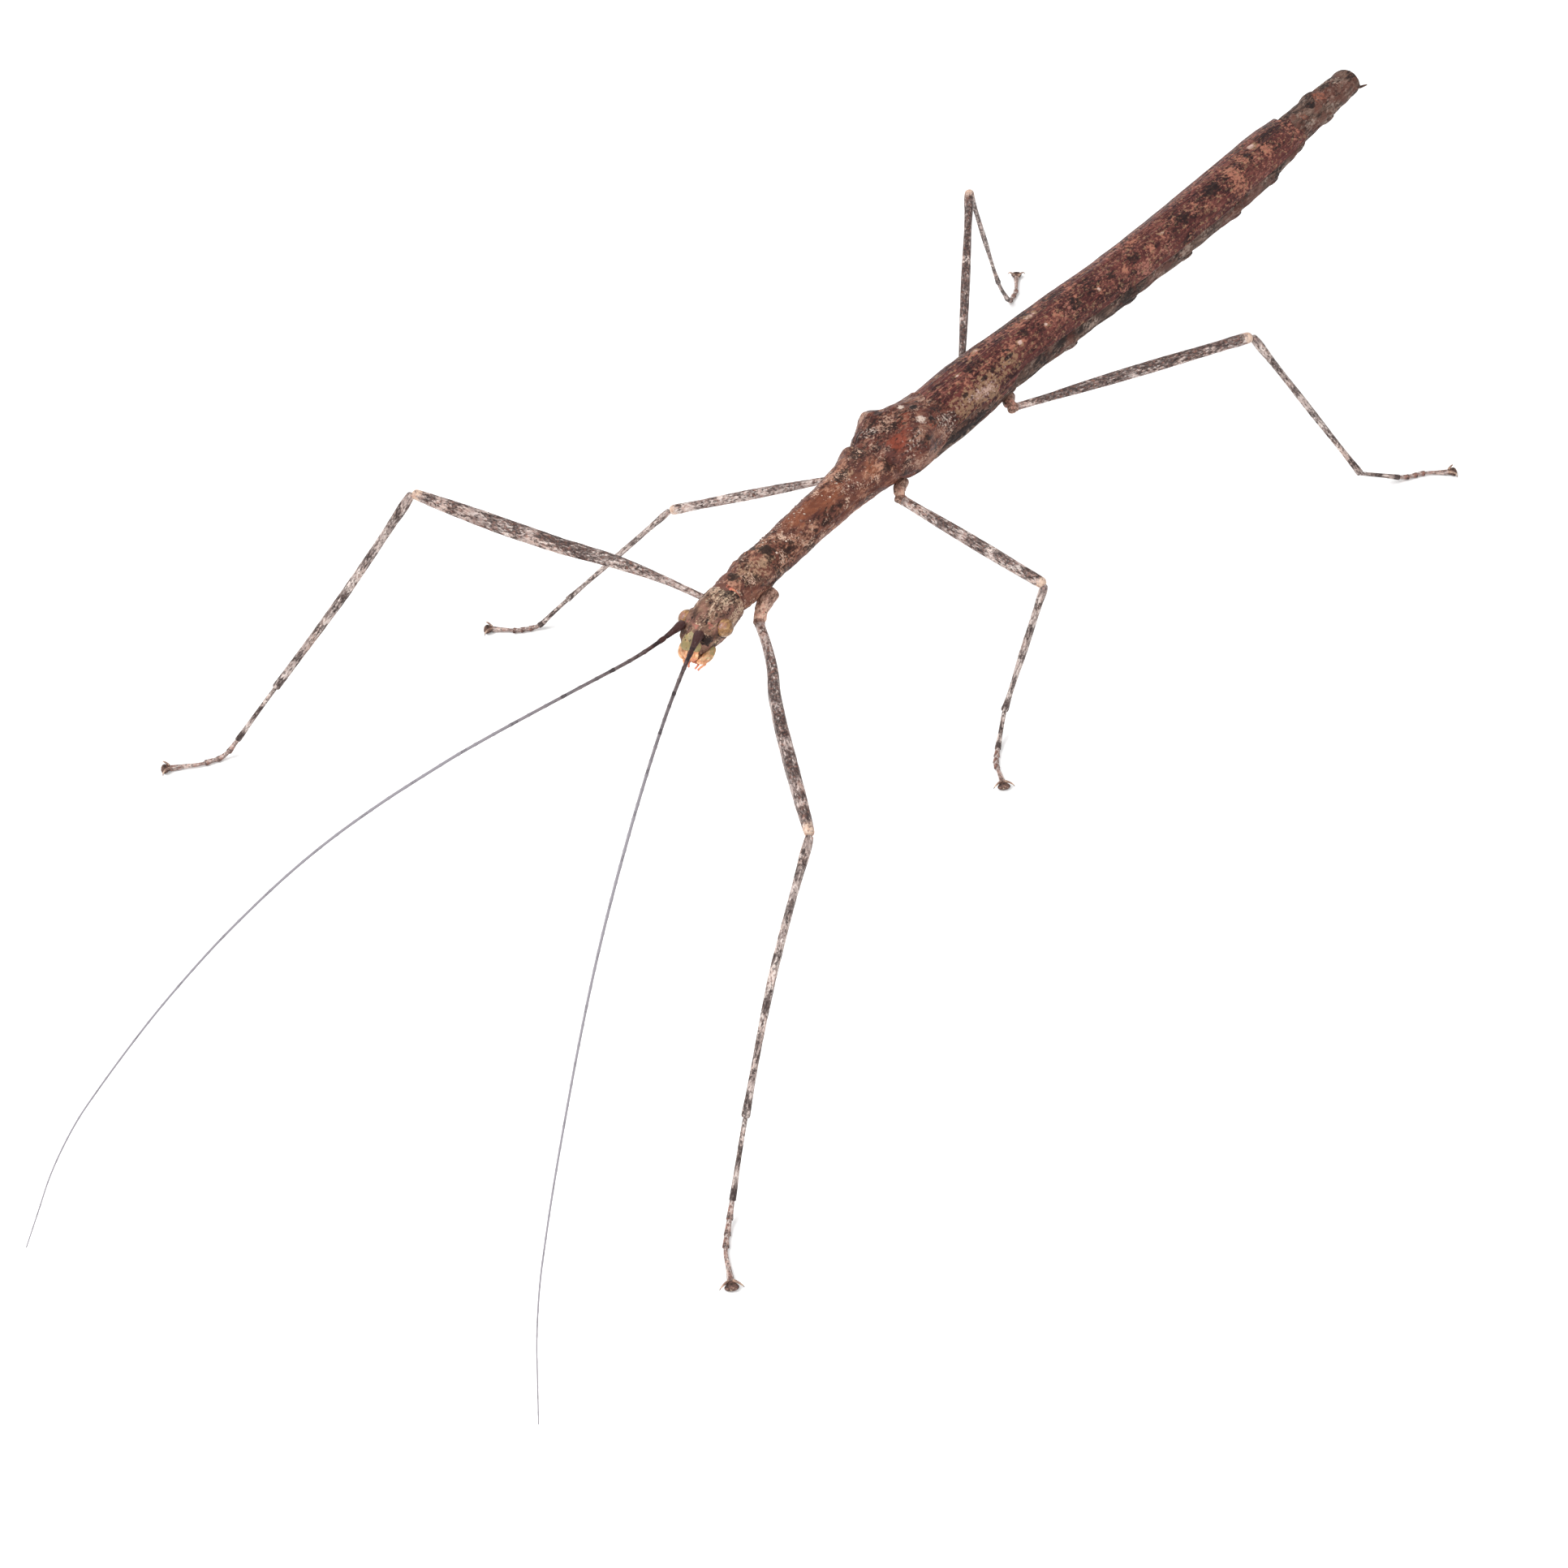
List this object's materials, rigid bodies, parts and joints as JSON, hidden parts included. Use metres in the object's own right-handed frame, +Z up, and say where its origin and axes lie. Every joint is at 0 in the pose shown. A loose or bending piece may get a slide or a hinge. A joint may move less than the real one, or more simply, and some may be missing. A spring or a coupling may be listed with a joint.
{
  "type": "stick insect",
  "caption": "Winged female stick insect standing on spread legs, long thin body, wings folded over the back and long feelers held forwards.",
  "frame": {"origin": "on the floor under the middle of the whole plan, feelers and feet included", "axes": "+Z up; the head and feelers point along -Y, the tail along +Y, and the insect's left side is +X"},
  "size_m": [0.0638, 0.1426, 0.0174],
  "materials": {
    "cuticle": "satin, mottled red-brown and tan, with small pale granules",
    "belly": "matt grey-brown, streaked along its length",
    "wing": "satin maroon, veined, with tan and cream flecks",
    "eye": "glossy ochre with a dark rim",
    "mouth": "satin orange-pink and olive",
    "feeler": "matt grey-brown, paler at the tip",
    "leg": "satin, pale pinkish cream banded with dark grey-brown",
    "pad": "matt pinkish brown"
  },
  "bodies": {
    "root": {"head": "cuticle", "mouthparts": "mouth", "eye_left": "eye", "eye_right": "eye", "antenna_left_scape": "feeler", "antenna_left_inner": "feeler", "antenna_left_outer": "feeler", "antenna_right_scape": "feeler", "antenna_right_inner": "feeler", "antenna_right_outer": "feeler", "prothorax": "cuticle", "mesothorax": "cuticle", "metathorax": "belly", "abdomen_2": "belly", "abdomen_3": "belly", "abdomen_4": "belly", "abdomen_5": "belly", "abdomen_6": "belly", "abdomen_7": "belly", "abdomen_8": "belly", "abdomen_9": "belly", "operculum": "belly", "cercus_left": "belly", "cercus_right": "belly", "hindwing_left": "wing", "hindwing_right": "wing", "tegmen_left": "wing", "tegmen_right": "wing", "coxa_fore_left": "cuticle", "femur_fore_left": "leg", "tibia_fore_left": "leg", "tarsus_fore_left": "leg", "claws_fore_left": "pad", "coxa_fore_right": "cuticle", "femur_fore_right": "leg", "tibia_fore_right": "leg", "tarsus_fore_right": "leg", "claws_fore_right": "pad", "coxa_middle_left": "cuticle", "femur_middle_left": "leg", "tibia_middle_left": "leg", "tarsus_middle_left": "leg", "claws_middle_left": "pad", "coxa_middle_right": "cuticle", "femur_middle_right": "leg", "tibia_middle_right": "leg", "tarsus_middle_right": "leg", "claws_middle_right": "pad", "coxa_hind_left": "cuticle", "femur_hind_left": "leg", "tibia_hind_left": "leg", "tarsus_hind_left": "leg", "claws_hind_left": "pad", "coxa_hind_right": "cuticle", "femur_hind_right": "leg", "tibia_hind_right": "leg", "tarsus_hind_right": "leg", "claws_hind_right": "pad"}
  },
  "joints": []
}
